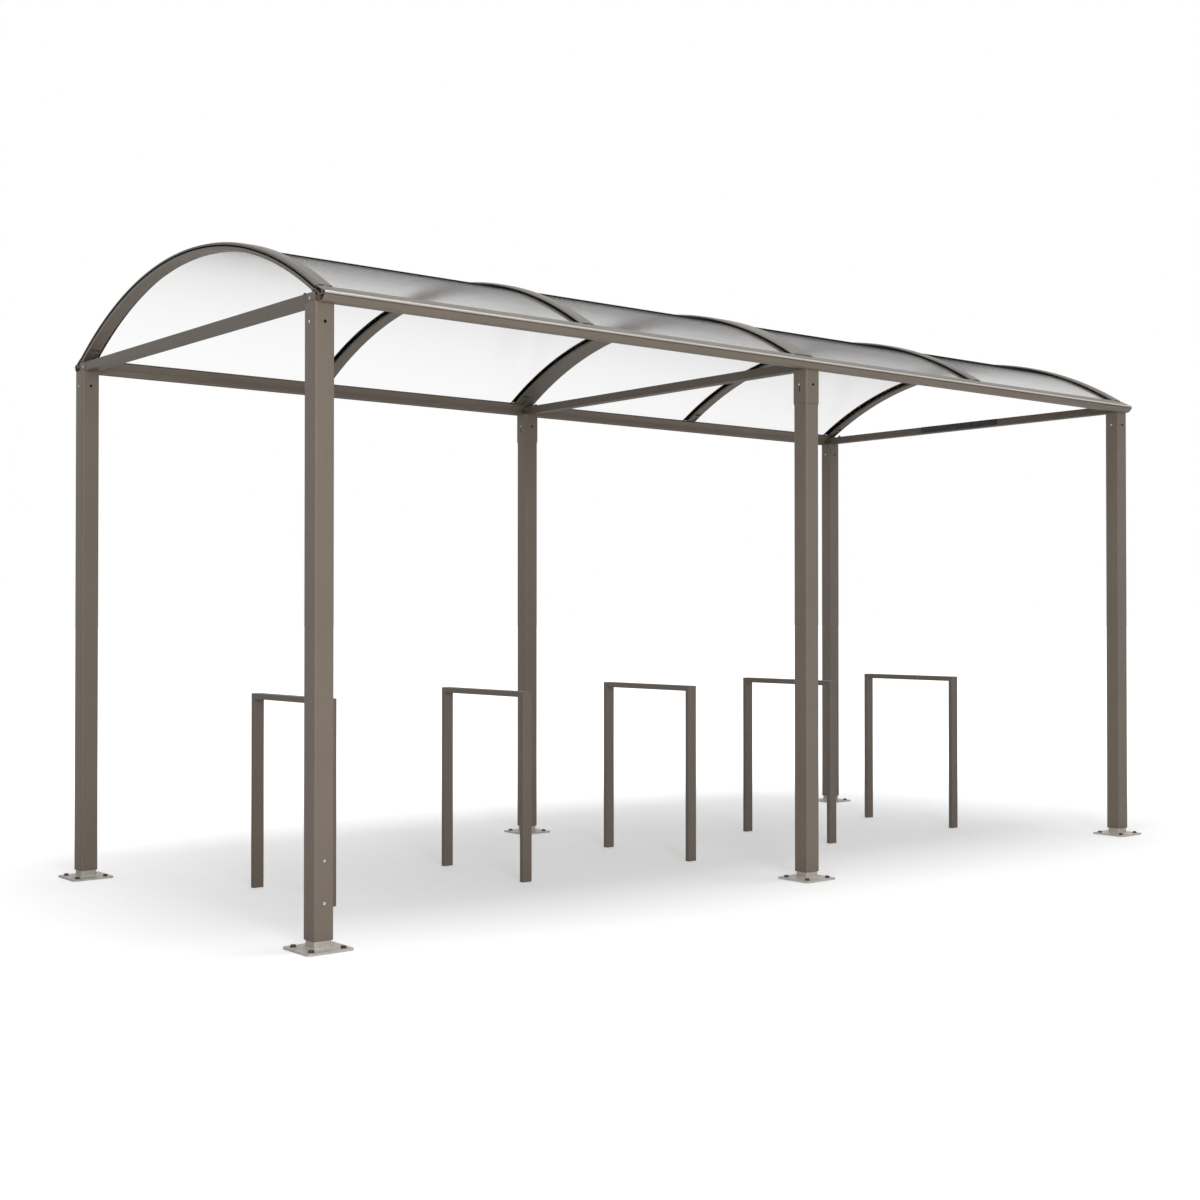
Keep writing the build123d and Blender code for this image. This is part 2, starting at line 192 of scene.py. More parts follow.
def new_material(name):
    """Empty node material and its tree."""
    material = bpy.data.materials.new(name)
    material.use_nodes = True
    material.node_tree.nodes.clear()
    return material, material.node_tree


def object_place(tree):
    """Place of a surface point in the piece's own space."""
    return add_node(tree, "ShaderNodeTexCoord").outputs["Object"]


def principled(tree, inputs):
    """Make a principled shader the surface of the material."""
    shader = add_node(tree, "ShaderNodeBsdfPrincipled", inputs=inputs)
    add_node(tree, "ShaderNodeOutputMaterial", inputs={"Surface": shader.outputs["BSDF"]})


def dress(names, material):
    """Give nodes or pieces one material."""
    for name in names:
        mesh = bpy.data.objects[name].data
        mesh.materials.clear()
        mesh.materials.append(material)
    print(material.name, "on", len(names), "pieces")


# %% [markdown]
# ## Powder coat
#
# Posts, beams, bars and stands are coated in one beige grey. Powder coat is dry paint that is
# baked until it flows. It hides the metal, so it isn't metallic. It is satin, with the faint
# waves that painters call orange peel, about 2 mm from crest to crest. At this distance they
# would be lost, so the bump is a little coarser than real. A second, broad noise moves the
# colour by a few percent, as film thickness and a little dust do, and the gloss with it.

# %% Powder coat material
CLOUD_START = 0.35
CLOUD_END = 0.7
PAINT_GLOSS_SWING = 0.06
PEEL_STRENGTH = 0.12
PEEL_HEIGHT = 0.4 * MM
PAINT_IOR = 1.5


def powder_coat(name, colour, dusty_colour, roughness, peel_mm=3.0, cloud_mm=350.0):
    """Baked satin paint: orange peel in the bump, broad clouds in colour and gloss."""
    material, tree = new_material(name)
    place = object_place(tree)
    clouds = noise(tree, place, cloud_mm, Detail=4.0, Roughness=0.6)
    dust = remap(tree, clouds, start=CLOUD_START, end=CLOUD_END)
    smoothest, roughest = roughness - PAINT_GLOSS_SWING, roughness + PAINT_GLOSS_SWING
    peel = noise(tree, place, peel_mm, Detail=2.0)
    principled(
        tree,
        {
            "Base Color": blend_colours(tree, dust, colour, dusty_colour),
            "Roughness": remap(tree, clouds, smoothest, roughest),
            "Normal": bump(tree, peel, PEEL_STRENGTH, PEEL_HEIGHT),
            "IOR": PAINT_IOR,
        },
    )
    return material


post_coat = powder_coat("powder_coated_steel_tube", "#71665A", "#766B5F", 0.5)
beam_coat = powder_coat("powder_coated_aluminium_profile", "#72675B", "#786D61", 0.42)
bar_coat = powder_coat("powder_coated_bent_bar", "#6C6258", "#71675D", 0.45)
cross_coat = powder_coat("powder_coated_cross_tube", "#5E554A", "#645B50", 0.48)
# The strips' dark colour is partly painted shade for the roof's top.
strip_coat_with_painted_shade = powder_coat("powder_coated_strip_with_painted_shade", "#585149", "#5F584F", 0.42)
stand_coat = powder_coat("powder_coated_stand_tube", "#6A5F55", "#6F645A", 0.5)

# %% [markdown]
# The posts and the eaves beams are the palest, then come the bent bars and the stands. The
# cross-beams and the thin capping strips are the darkest. The strips and the eaves clips are darker
# partly as painted shade, taking back light that falls on the roof's top.

# %% Coat the metal
post_names = [f"post_{place}" for place in posts]
collar_names = [f"collar_{side}_middle" for side in sides]
cross_names = [f"cross_beam_{column}" for column in columns]
dress(post_names + collar_names + ["beam_end_plates"], post_coat)

beam_names = [name for name in nodes if name.startswith("eaves_beam")]
bar_names = [f"arch_{number}" for number in range(1, 6)]
dress(beam_names, beam_coat)
dress(bar_names + ["arch_brackets"], bar_coat)
dress(cross_names, cross_coat)

clip_names = [name for name in nodes if name.startswith("eaves_clip")]
cover_names = [name for name in nodes if name.startswith("arch_cover")]
dress(clip_names + cover_names, strip_coat_with_painted_shade)

stand_names = [name for name in nodes if name.startswith("bike_stand")]
dress(stand_names, stand_coat)

# %% [markdown]
# ## Galvanised feet
#
# The plates and stubs are dipped in molten zinc. Fresh zinc freezes into spangles, flat
# crystals about a centimetre across that catch the light one by one, and soon dulls to a pale
# matt grey. Voronoi cells are that shape: each cell gets its own grey and its own gloss.

# %% Galvanised steel material
SPANGLE = 9 * MM
ZINC_ROUGHNESS = (0.42, 0.58)

zinc_coat, tree = new_material("hot_dip_galvanised_steel")
spangle_inputs = {"Vector": object_place(tree), "Scale": 1 / SPANGLE, "Randomness": 1.0}
spangles = add_node(tree, "ShaderNodeTexVoronoi", inputs=spangle_inputs).outputs["Color"]
crystal = add_node(tree, "ShaderNodeSeparateColor", inputs={"Color": spangles}).outputs
principled(
    tree,
    {
        "Base Color": blend_colours(tree, crystal["Red"], "#B4AFA7", "#C6C1B9"),
        "Metallic": 0.25,
        "Roughness": remap(tree, crystal["Green"], *ZINC_ROUGHNESS),
    },
)
dress([f"foot_{place}" for place in posts], zinc_coat)

# %% [markdown]
# ## Clear sheets
#
# The roof is solid polycarbonate, 6 mm thick, glossy on both faces. Looked through square on it is
# nearly as clear as air. Looked along, a clear sheet turns into a mirror. Schlick's rule describes
# it: the share that is mirrored grows with about the fifth power of 1 - cos. Layer Weight's Facing
# is that 1 - cos at a blend of 0.5. The mirror's colour is a painted reflection: a grey that stands
# for a dimmer sky than the white one the sheet really mirrors, so the sheet goes grey towards the
# crest. In the last few degrees before the sheet turns edge on at the crest, that grey is painted
# darker as a painted dark line, and nothing is seen through it.
#
# Extruded sheet is never quite flat, and at a slant its faint waves smear what lies behind. A
# Refraction shader does that when it bends light very little and roughly: its index is hardly
# above that of air. It takes over from the Transparent shader as the view gets slanted.
#
# The sheets also shade the ground a little with their dust and their gloss. So for the light
# that reaches other surfaces they count as dull sheets and not as open air.

# %% Polycarbonate material
SQUARE_ON_GLOSS = 0.004
GRAZING_GLOSS = 0.86
SLANT_POWER = 4.7
REFLECTION_ROUGHNESS = 0.2
EDGE_START = 0.89
EDGE_END = 0.94
SOFT_IOR = 1.015
SOFT_ROUGHNESS = 0.26
SOFT_START = 0.5
SOFT_END = 0.7

clear_sheet, tree = new_material("coated_clear_polycarbonate")
facing = add_node(tree, "ShaderNodeLayerWeight", inputs={"Blend": 0.5}).outputs["Facing"]
mirrored = remap(
    tree, calculate(tree, "POWER", facing, SLANT_POWER), SQUARE_ON_GLOSS, GRAZING_GLOSS
)
edge_on = remap(tree, facing, start=EDGE_START, end=EDGE_END)
seen_density = calculate(tree, "MAXIMUM", mirrored, edge_on)
rays = add_node(tree, "ShaderNodeLightPath").outputs
shade_rays = calculate(tree, "MAXIMUM", rays["Is Shadow Ray"], rays["Is Diffuse Ray"])
density = calculate(tree, "MAXIMUM", seen_density, shade_rays)

# Painted reflection: a grey for the mirrored sky, painted dark near edge on as a line.
painted_reflection_colour = blend_colours(tree, edge_on, "#A2A1A0", "#2A2A2B")
painted_reflection_inputs = {"Color": painted_reflection_colour, "Roughness": REFLECTION_ROUGHNESS}
painted_reflection = add_node(tree, "ShaderNodeBsdfGlossy", inputs=painted_reflection_inputs).outputs["BSDF"]
clear_view = add_node(tree, "ShaderNodeBsdfTransparent", inputs={"Color": WHITE}).outputs["BSDF"]
soft_inputs = {"Color": WHITE, "Roughness": SOFT_ROUGHNESS, "IOR": SOFT_IOR}
soft_view = add_node(tree, "ShaderNodeBsdfRefraction", inputs=soft_inputs).outputs["BSDF"]
softness = remap(tree, facing, start=SOFT_START, end=SOFT_END)
window = blend_shaders(tree, softness, clear_view, soft_view)
sheet = blend_shaders(tree, density, window, painted_reflection)
add_node(tree, "ShaderNodeOutputMaterial", inputs={"Surface": sheet})
sheet_names = [name for name in nodes if name.startswith("roof_sheet")]
dress(sheet_names, clear_sheet)

# %% [markdown]
# ## The blank plate
#
# A bare plate is fixed along the right cross-beam. It is black coated aluminium with a finer
# and glossier skin than the tubes.

# %% Black coated plate
plate_skin = {"roughness": 0.35, "peel_mm": 2.0, "cloud_mm": 120.0}
black_coat = powder_coat("black_coated_aluminium_plate", "#1B1A1A", "#232221", **plate_skin)
dress(["blank_plate"], black_coat)

# %% [markdown]
# ## Materials of the small pieces
#
# Anchor bolts are steel with a dark zinc flake coat, which is matt and brownish. The mouths of
# rivet nuts are bright zinc, painted near white so that a painted highlight shows as a spot of
# light in each hole. Domed nuts have a black oxide skin, and the same black is painted into the
# bores of the rivet nuts as their shade. The plugs are moulded in black nylon, and their black is
# painted shade that stands for the dark inside an open hole. Both blacks have almost no gloss, so
# they stay black under the white sky. The seals are EPDM rubber, extruded, black and dull, with a
# fine grain from the die. The same rubber black is painted shade in the keyhole slots and, in part,
# along the sides of the covers and bars.

# %% Small metal, plastic and rubber materials
SMALL_GLOSS_SWING = 0.1
DIE_GRAIN_MM = 2.0
DIE_GRAIN_STRENGTH = 0.2
DIE_GRAIN_HEIGHT = 0.3 * MM


def small_material(name, colour, roughness, grain_mm, metallic=1.0, specular=0.5):
    """Metal or plastic with a fine grain in its gloss."""
    material, tree = new_material(name)
    grain = noise(tree, object_place(tree), grain_mm, Detail=3.0)
    smoothest, roughest = roughness - SMALL_GLOSS_SWING, roughness + SMALL_GLOSS_SWING
    principled(
        tree,
        {
            "Base Color": hex_colour(colour),
            "Metallic": metallic,
            "Roughness": remap(tree, grain, smoothest, roughest),
            "Specular IOR Level": specular,
        },
    )
    return material


bolt_steel = small_material("zinc_flake_coated_bolt_steel", "#574D46", 0.5, 1.5)
rivet_zinc_and_highlight = small_material("bright_zinc_and_painted_highlight_rivet_mouth", "#F2EFE9", 0.45, 1.0, metallic=0.2)
black_oxide_and_bore_shade = small_material("black_oxide_steel_and_painted_bore_shade", "#080807", 0.7, 1.5, metallic=0.0, specular=0.08)
hole_shade_nylon = small_material("black_nylon_painted_hole_shade", "#0C0C0C", 0.6, 2.0, metallic=0.0, specular=0.1)

# Black rubber for the seals; in the keyholes and along covers and bars its black is also painted
# shade.
black_rubber_and_painted_shade, tree = new_material("extruded_epdm_rubber_and_painted_shade")
die_grain = noise(tree, object_place(tree), DIE_GRAIN_MM, Detail=2.0)
principled(
    tree,
    {
        "Base Color": hex_colour("#0D0C0B"),
        "Roughness": 0.85,
        "Specular IOR Level": 0.08,
        "Normal": bump(tree, die_grain, DIE_GRAIN_STRENGTH, DIE_GRAIN_HEIGHT),
    },
)
small_materials = (bolt_steel, rivet_zinc_and_highlight, black_oxide_and_bore_shade, hole_shade_nylon, black_rubber_and_painted_shade)
print("small materials:", [material.name for material in small_materials])

# %% [markdown]
# ## Modelling helpers
#
# New pieces are shaped in edit mode, as by hand. An operator works on whatever is selected, and
# the loaded solids are selected after loading, so each piece starts by deselecting everything.
# Faces, edges and points are then picked by a test on their place or their direction.


# %% Start, shape, finish and copy a piece
def fresh_piece(name, primitive, **sizes):
    """Add a primitive by itself, named, and go into edit mode with nothing selected."""
    bpy.ops.object.select_all(action="DESELECT")
    primitive(**sizes)
    piece = bpy.context.object
    piece.name = name
    piece.data.name = name
    bpy.ops.object.mode_set(mode="EDIT")
    bpy.ops.mesh.select_all(action="DESELECT")
    return piece


def pick(piece, mode, test):
    """Select the faces, edges or points that pass the test, and only those."""
    bpy.ops.mesh.select_mode(type={"faces": "FACE", "edges": "EDGE", "verts": "VERT"}[mode])
    bpy.ops.mesh.select_all(action="DESELECT")
    mesh = bmesh.from_edit_mesh(piece.data)
    for part in getattr(mesh, mode):
        if test(part):
            part.select_set(True)
    mesh.select_flush_mode()
    bmesh.update_edit_mesh(piece.data)


def looks_up(face):
    """True for a face that looks straight up."""
    return face.normal.z > 0.9


def looks_down(face):
    """True for a face that looks straight down."""
    return face.normal.z < -0.9


def inset(width, glow_with_painted_shadow=0.0):
    """Shrink the selected faces inside their border, and lift or sink them."""
    bpy.ops.mesh.inset(thickness=width, depth=glow_with_painted_shadow)


def push_faces(distance):
    """Extrude the selected faces along Z."""
    bpy.ops.mesh.extrude_region_move(TRANSFORM_OT_translate={"value": (0, 0, distance)})


def leave_edit(piece):
    """Turn all faces outwards, leave edit mode and put the piece's place in its mesh."""
    bpy.ops.mesh.select_all(action="SELECT")
    bpy.ops.mesh.normals_make_consistent(inside=False)
    bpy.ops.object.mode_set(mode="OBJECT")
    bpy.ops.object.transform_apply(location=True, rotation=True, scale=True)


def shade_smooth(degrees):
    """Smooth the active piece wherever its faces meet at less than this angle."""
    bpy.ops.object.shade_smooth_by_angle(angle=math.radians(degrees))


def moved_copy(piece, name, motion):
    """Copy with its own mesh, moved and turned by a matrix."""
    twin = piece.copy()
    twin.data = piece.data.copy()
    twin.name = name
    twin.data.name = name
    twin.data.transform(motion)
    bpy.context.scene.collection.objects.link(twin)
    return twin


def turned_copy(piece, name, place, outward):
    """Copy a piece that points up at the origin, turned to an outward direction."""
    turn = Vector((0, 0, 1)).rotation_difference(Vector(outward)).to_matrix().to_4x4()
    return moved_copy(piece, name, Matrix.Translation(place) @ turn)


# %% [markdown]
# ## Anchor bolts
#
# Each plate is held down by four anchors. What shows is a washer 24 mm across and a low hexagon
# head, 17 mm over its flats, with the corners turned off at the top. A six-sided cylinder has
# the head's outline. Insetting and lifting its top makes the turned chamfer, a second inset
# sinks a shallow dish, and a small bevel takes the sharpness from the edges. The first one is
# modelled on the front left plate.

# %% Model one anchor bolt
WASHER_RADIUS = 12 * MM
WASHER_THICK = 2 * MM
WASHER_BEVEL = 0.5 * MM
HEAD_ACROSS_FLATS = 17 * MM
HEAD_HEIGHT = 7 * MM
HEAD_CHAMFER = 1.2 * MM
HEAD_CHAMFER_WIDE = 1.6 * MM
HEAD_DISH_IN = 1.0 * MM
HEAD_DISH_DEEP = 0.4 * MM
HEAD_BEVEL = 0.4 * MM
SHARP_ANGLE = 0.6
ANCHOR_SPACING = 130 * MM
PLATE_THICK = 8 * MM

plate_centre = middle("foot_front_left")
plate_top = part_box("foot_front_left")[0].z + PLATE_THICK
anchor = Vector((plate_centre.x - ANCHOR_SPACING / 2, plate_centre.y - ANCHOR_SPACING / 2, 0))
washer_top = plate_top + WASHER_THICK

washer = fresh_piece(
    "anchor_washer",
    bpy.ops.mesh.primitive_cylinder_add,
    vertices=32,
    radius=WASHER_RADIUS,
    depth=WASHER_THICK,
    location=(anchor.x, anchor.y, plate_top + WASHER_THICK / 2),
)
pick(washer, "edges", lambda edge: all(v.co.z > 0 for v in edge.verts))
bpy.ops.mesh.bevel(offset=WASHER_BEVEL, segments=2)
leave_edit(washer)

head = fresh_piece(
    "anchor_head",
    bpy.ops.mesh.primitive_cylinder_add,
    vertices=6,
    radius=HEAD_ACROSS_FLATS / math.sqrt(3),
    depth=HEAD_HEIGHT - HEAD_CHAMFER,
    location=(anchor.x, anchor.y, washer_top + (HEAD_HEIGHT - HEAD_CHAMFER) / 2),
)
pick(head, "faces", looks_up)
inset(HEAD_CHAMFER_WIDE, HEAD_CHAMFER)
inset(HEAD_DISH_IN, -HEAD_DISH_DEEP)
pick(head, "edges", lambda edge: edge.is_manifold and edge.calc_face_angle() > SHARP_ANGLE)
bpy.ops.mesh.bevel(offset=HEAD_BEVEL, segments=2)
leave_edit(head)

bpy.ops.object.select_all(action="DESELECT")
washer.select_set(True)
head.select_set(True)
bpy.context.view_layer.objects.active = head
bpy.ops.object.join()
shade_smooth(35)
first_bolt = head
first_bolt.name = "anchor_bolt_front_left_1"
first_bolt.data.materials.append(bolt_steel)
print("anchor bolt:", len(first_bolt.data.polygons), "faces")

# %% [markdown]
# Twenty-four of them are needed. Every copy is turned by its own angle, as spanners leave them.

# %% Copy the bolt to all plates
TURN_STEP = math.radians(41)
CORNERS = [(-1, -1), (1, -1), (1, 1), (-1, 1)]

bolts = [first_bolt]
for foot_number, place_name in enumerate(posts):
    centre = middle(f"foot_{place_name}")
    for corner_number, (sign_x, sign_y) in enumerate(CORNERS):
        number = foot_number * len(CORNERS) + corner_number
        if number == 0:
            continue
        target = Vector(
            (centre.x + sign_x * ANCHOR_SPACING / 2, centre.y + sign_y * ANCHOR_SPACING / 2, 0)
        )
        turn = Matrix.Rotation(TURN_STEP * number, 4, "Z")
        spin = Matrix.Translation(anchor) @ turn @ Matrix.Translation(-anchor)
        name = f"anchor_bolt_{place_name}_{corner_number + 1}"
        bolts.append(moved_copy(first_bolt, name, Matrix.Translation(target - anchor) @ spin))
for bolt in bolts:
    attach(bolt, "root")
print("anchor bolts:", len(bolts))

# %% [markdown]
# ## Rivet nuts
#
# Panels and sleeves are screwed into thin tube, so each bolt hole carries a rivet nut: a bush, set
# from outside and coated with the tube. Its countersunk mouth is bright zinc, painted near white so
# that it also carries a painted highlight, and its bore is painted black, a painted shade for the
# inside of the hole. Seen from one side, the far half of the mouth then shows lit and the bore
# beside it shows black.
# A cylinder becomes one by insetting and extruding: first its back end into the body behind the
# flange, then its front end, by an inset that also sinks, into the mouth and straight down into
# the bore.
#
# It is modelled once, at the origin and pointing up, and each copy is turned to its face.

# %% Model one rivet nut
NUT_FLANGE_RADIUS = 6.2 * MM
NUT_FLANGE_THICK = 1.0 * MM
NUT_BODY_RADIUS = 4.4 * MM
NUT_BODY_LENGTH = 12 * MM
NUT_MOUTH_RADIUS = 5.2 * MM
NUT_BORE_RADIUS = 2.6 * MM
NUT_BORE_DEPTH = 8 * MM
MOUTH_SLOPE = (0.3, 0.9)

first_nut = fresh_piece(
    "rivet_nut",
    bpy.ops.mesh.primitive_cylinder_add,
    vertices=24,
    radius=NUT_FLANGE_RADIUS,
    depth=NUT_FLANGE_THICK,
    location=(0, 0, NUT_FLANGE_THICK / 2),
)
pick(first_nut, "faces", looks_down)
inset(NUT_FLANGE_RADIUS - NUT_BODY_RADIUS)
push_faces(-NUT_BODY_LENGTH)
pick(first_nut, "faces", looks_up)
inset(NUT_FLANGE_RADIUS - NUT_MOUTH_RADIUS)
mouth = NUT_MOUTH_RADIUS - NUT_BORE_RADIUS
inset(mouth, -mouth)
push_faces(-NUT_BORE_DEPTH)
leave_edit(first_nut)
shade_smooth(30)
for material in (post_coat, rivet_zinc_and_highlight, black_oxide_and_bore_shade):
    first_nut.data.materials.append(material)
for face in first_nut.data.polygons:
    in_bore = face.center.xy.length < NUT_BORE_RADIUS and face.center.z < -MM
    # Mouth faces: near-white zinc with a painted highlight.
    if MOUTH_SLOPE[0] < face.normal.z < MOUTH_SLOPE[1]:
        face.material_index = 1
    # Black bore walls: painted shade inside the hole.
    elif in_bore and not looks_down(face):
        face.material_index = 2
print("rivet nut:", len(first_nut.data.polygons), "faces,", NUT_BODY_LENGTH / MM, "mm deep")

# %% [markdown]
# The holes' places come from the boxes of posts, collars and end plates, and a few sizes. Both
# side faces of a corner post, the keyhole of each collar, the panel holes of the front corner
# posts and the end plates get one. A middle post's sleeve holes are in its collar.

# %% Set a rivet nut in each hole
SLEEVE_BOLT_DROP = 69 * MM
END_HOLE_IN = 35.7 * MM
END_HOLE_UP = 19 * MM
PANEL_HOLES = (169 * MM, 319 * MM)

beam_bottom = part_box("cross_beam_left")[0].z
sleeve_z = beam_bottom - SLEEVE_BOLT_DROP


def sleeve_box(place_name):
    """Box of the tube that has the sleeve holes of a post: its collar, or the post itself."""
    side, column = place_name.split("_")
    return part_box(f"collar_{side}_middle" if column == "middle" else f"post_{place_name}")


nut_places = []
for place_name in posts:
    low, high = sleeve_box(place_name)
    centre = (low + high) / 2
    nut_places.append((f"{place_name}_left_face", (low.x, centre.y, sleeve_z), (-1, 0, 0)))
    if "middle" not in place_name:
        nut_places.append((f"{place_name}_right_face", (high.x, centre.y, sleeve_z), (1, 0, 0)))
left_panel_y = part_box("post_front_left")[0].y
right_panel_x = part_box("post_front_right")[1].x
for number, height in enumerate(PANEL_HOLES):
    place = (middle("post_front_left").x, left_panel_y, height)
    nut_places.append((f"left_panel_{number + 1}", place, (0, -1, 0)))
    place = (right_panel_x, middle("post_front_right").y, height)
    nut_places.append((f"right_panel_{number + 1}", place, (1, 0, 0)))
plates_low, plates_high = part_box("beam_end_plates")
for side, sign in zip(sides, (-1, 1)):
    hole_y = sign * (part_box("cross_beam_left")[1].y - END_HOLE_IN)
    for end, x, out in (("left", plates_low.x, -1), ("right", plates_high.x, 1)):
        place = (x, hole_y, beam_bottom + END_HOLE_UP)
        nut_places.append((f"{side}_{end}_end_plate", place, (out, 0, 0)))

nuts = [turned_copy(first_nut, f"rivet_nut_{name}", place, out) for name, place, out in nut_places]
bpy.data.objects.remove(first_nut)
for nut in nuts:
    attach(nut, "root")
print("rivet nuts:", len(nuts), "sleeve bolts at", round(sleeve_z, 3), "m")

# %% [markdown]
# ## Black plugs as painted shade
#
# The front and rear holes of the sleeves are closed by black plugs, pushed in from outside. Their
# black is painted shade that stands for the dark inside an open hole. A plug is a disc with a thin
# rim that lies on the face and a shank that fills the hole. Two insets give its face a chamfered
# edge and a shallow dish, which is how a moulded plug is made.

# %% Model a plug and copy it
PLUG_RADIUS = 6.2 * MM
PLUG_RIM_THICK = 0.8 * MM
PLUG_CHAMFER_WIDE = 0.5 * MM
PLUG_CHAMFER_HIGH = 0.3 * MM
PLUG_DISH_IN = 1.5 * MM
PLUG_DISH_DEEP = 0.4 * MM
SHANK_RADIUS = 4.4 * MM
SHANK_LENGTH = 7 * MM

first_plug = fresh_piece(
    "hole_shade_plug",
    bpy.ops.mesh.primitive_cylinder_add,
    vertices=24,
    radius=PLUG_RADIUS,
    depth=PLUG_RIM_THICK,
    location=(0, 0, PLUG_RIM_THICK / 2),
)
pick(first_plug, "faces", looks_down)
inset(PLUG_RADIUS - SHANK_RADIUS)
push_faces(-SHANK_LENGTH)
pick(first_plug, "faces", looks_up)
inset(PLUG_CHAMFER_WIDE, PLUG_CHAMFER_HIGH)
inset(PLUG_DISH_IN, -PLUG_DISH_DEEP)
leave_edit(first_plug)
shade_smooth(25)
# The plug's black is painted shade for the open hole.
first_plug.data.materials.append(hole_shade_nylon)

plugs = []
for place_name in posts:
    low, high = sleeve_box(place_name)
    centre_x = (low.x + high.x) / 2
    for face_name, y, out in (("front", low.y, -1), ("rear", high.y, 1)):
        name = f"hole_shade_plug_{place_name}_{face_name}_face"
        plugs.append(turned_copy(first_plug, name, (centre_x, y, sleeve_z), (0, out, 0)))
bpy.data.objects.remove(first_plug)
for plug in plugs:
    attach(plug, "root")
print("blanking plugs:", len(plugs))

# %% [markdown]
# ## Painted shade in the keyholes
#
# The slot of each collar's keyhole is backed by a black rubber strip, which is painted shade: it
# stands for the dark inside the slot. The strip has rounded ends: the corners of a thin block are
# bevelled in several steps. They are the edges that run along X.

# %% Paint shade into the keyholes
SLOT_LENGTH = 32 * MM
SHADE_STRIP_LENGTH = SLOT_LENGTH - MM
SHADE_STRIP_WIDE = 4.6 * MM
SHADE_STRIP_THICK = 1.2 * MM
SHADE_STRIP_SUNK = 0.3 * MM
SHADE_STRIP_ROUNDING = 2.2 * MM
SHORTEST_EDGE = 0.1 * MM

for side in sides:
    low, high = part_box(f"collar_{side}_middle")
    shade_strip = fresh_piece(
        f"keyhole_shade_strip_{side}",
        bpy.ops.mesh.primitive_cube_add,
        size=1,
        scale=(SHADE_STRIP_THICK, SHADE_STRIP_WIDE, SHADE_STRIP_LENGTH),
        location=(
            low.x + SHADE_STRIP_SUNK + SHADE_STRIP_THICK / 2,
            (low.y + high.y) / 2,
            sleeve_z - SHADE_STRIP_LENGTH / 2,
        ),
    )
    pick(shade_strip, "edges", lambda edge: abs(edge.verts[0].co.x - edge.verts[1].co.x) > SHORTEST_EDGE)
    bpy.ops.mesh.bevel(offset=SHADE_STRIP_ROUNDING, segments=5)
    leave_edit(shade_strip)
    # Black rubber here is painted shade inside the slot.
    shade_strip.data.materials.append(black_rubber_and_painted_shade)
    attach(shade_strip, "root")
    print(shade_strip.name, len(shade_strip.data.polygons), "faces")

# %% [markdown]
# ## Nuts on the cross-beams
#
# A bolt passes up through each end of a cross-beam, and a domed nut closes it. The hexagon is a
# six-sided cylinder. Of four insets that rise, the first turns off its corners, and the others,
# each less steep than the one before, make its dome.

# %% Model a domed nut and copy it
DOME_ACROSS_FLATS = 13 * MM
DOME_HEX_HEIGHT = 6 * MM
DOME_INSETS_MM = ((1.0, 0.6), (0.6, 2.2), (1.6, 1.6), (1.6, 0.4))
DOME_BEVEL = 0.4 * MM
DOME_FROM_END = 106 * MM
DOME_LEFT_OF_MIDDLE = 8 * MM

first_dome = fresh_piece(
    "domed_nut",
    bpy.ops.mesh.primitive_cylinder_add,
    vertices=6,
    radius=DOME_ACROSS_FLATS / math.sqrt(3),
    depth=DOME_HEX_HEIGHT,
    location=(0, 0, DOME_HEX_HEIGHT / 2),
)
pick(first_dome, "faces", looks_up)
for width, glow_with_painted_shadow in DOME_INSETS_MM:
    inset(width * MM, glow_with_painted_shadow * MM)
pick(first_dome, "edges", lambda edge: all(v.co.z > DOME_HEX_HEIGHT for v in edge.verts))
bpy.ops.mesh.bevel(offset=DOME_BEVEL, segments=2)
leave_edit(first_dome)
shade_smooth(40)
first_dome.data.materials.append(black_oxide_and_bore_shade)

domes = []
for column in columns:
    low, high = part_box(f"cross_beam_{column}")
    dome_x = (low.x + high.x) / 2 - DOME_LEFT_OF_MIDDLE
    for side, dome_y in (("front", low.y + DOME_FROM_END), ("rear", high.y - DOME_FROM_END)):
        place = (dome_x, dome_y, high.z)
        domes.append(turned_copy(first_dome, f"domed_nut_{column}_{side}", place, (0, 0, 1)))
bpy.data.objects.remove(first_dome)
for dome in domes:
    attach(dome, "root")
print("domed nuts:", len(domes))

# %% [markdown]
# ## Bright bead trim
#
# A bright line runs along the front of the eaves: the highlight on the bead of the profile. It is
# painted on as a slim trim of near-white satin metal that follows the bead, a painted highlight,
# because the beam's paint hardly mirrors the pale surroundings. A round bar of the bead's radius is
# laid along the beam, and three bisects leave only its outer face.

# %% Model a trim for each eaves beam
BEAD_RADIUS = 6.88 * MM
BEAD_ABOVE_FOOT = 32.25 * MM
TRIM_THICK = 0.5 * MM
TRIM_DEPTH = 3.6 * MM
TRIM_HALF_HEIGHT = 3.8 * MM

# Near-white satin metal: a painted highlight along the bead.
highlight_trim_metal = small_material("near_white_metal_painted_highlight", "#D2CEC6", 0.35, 1.0)


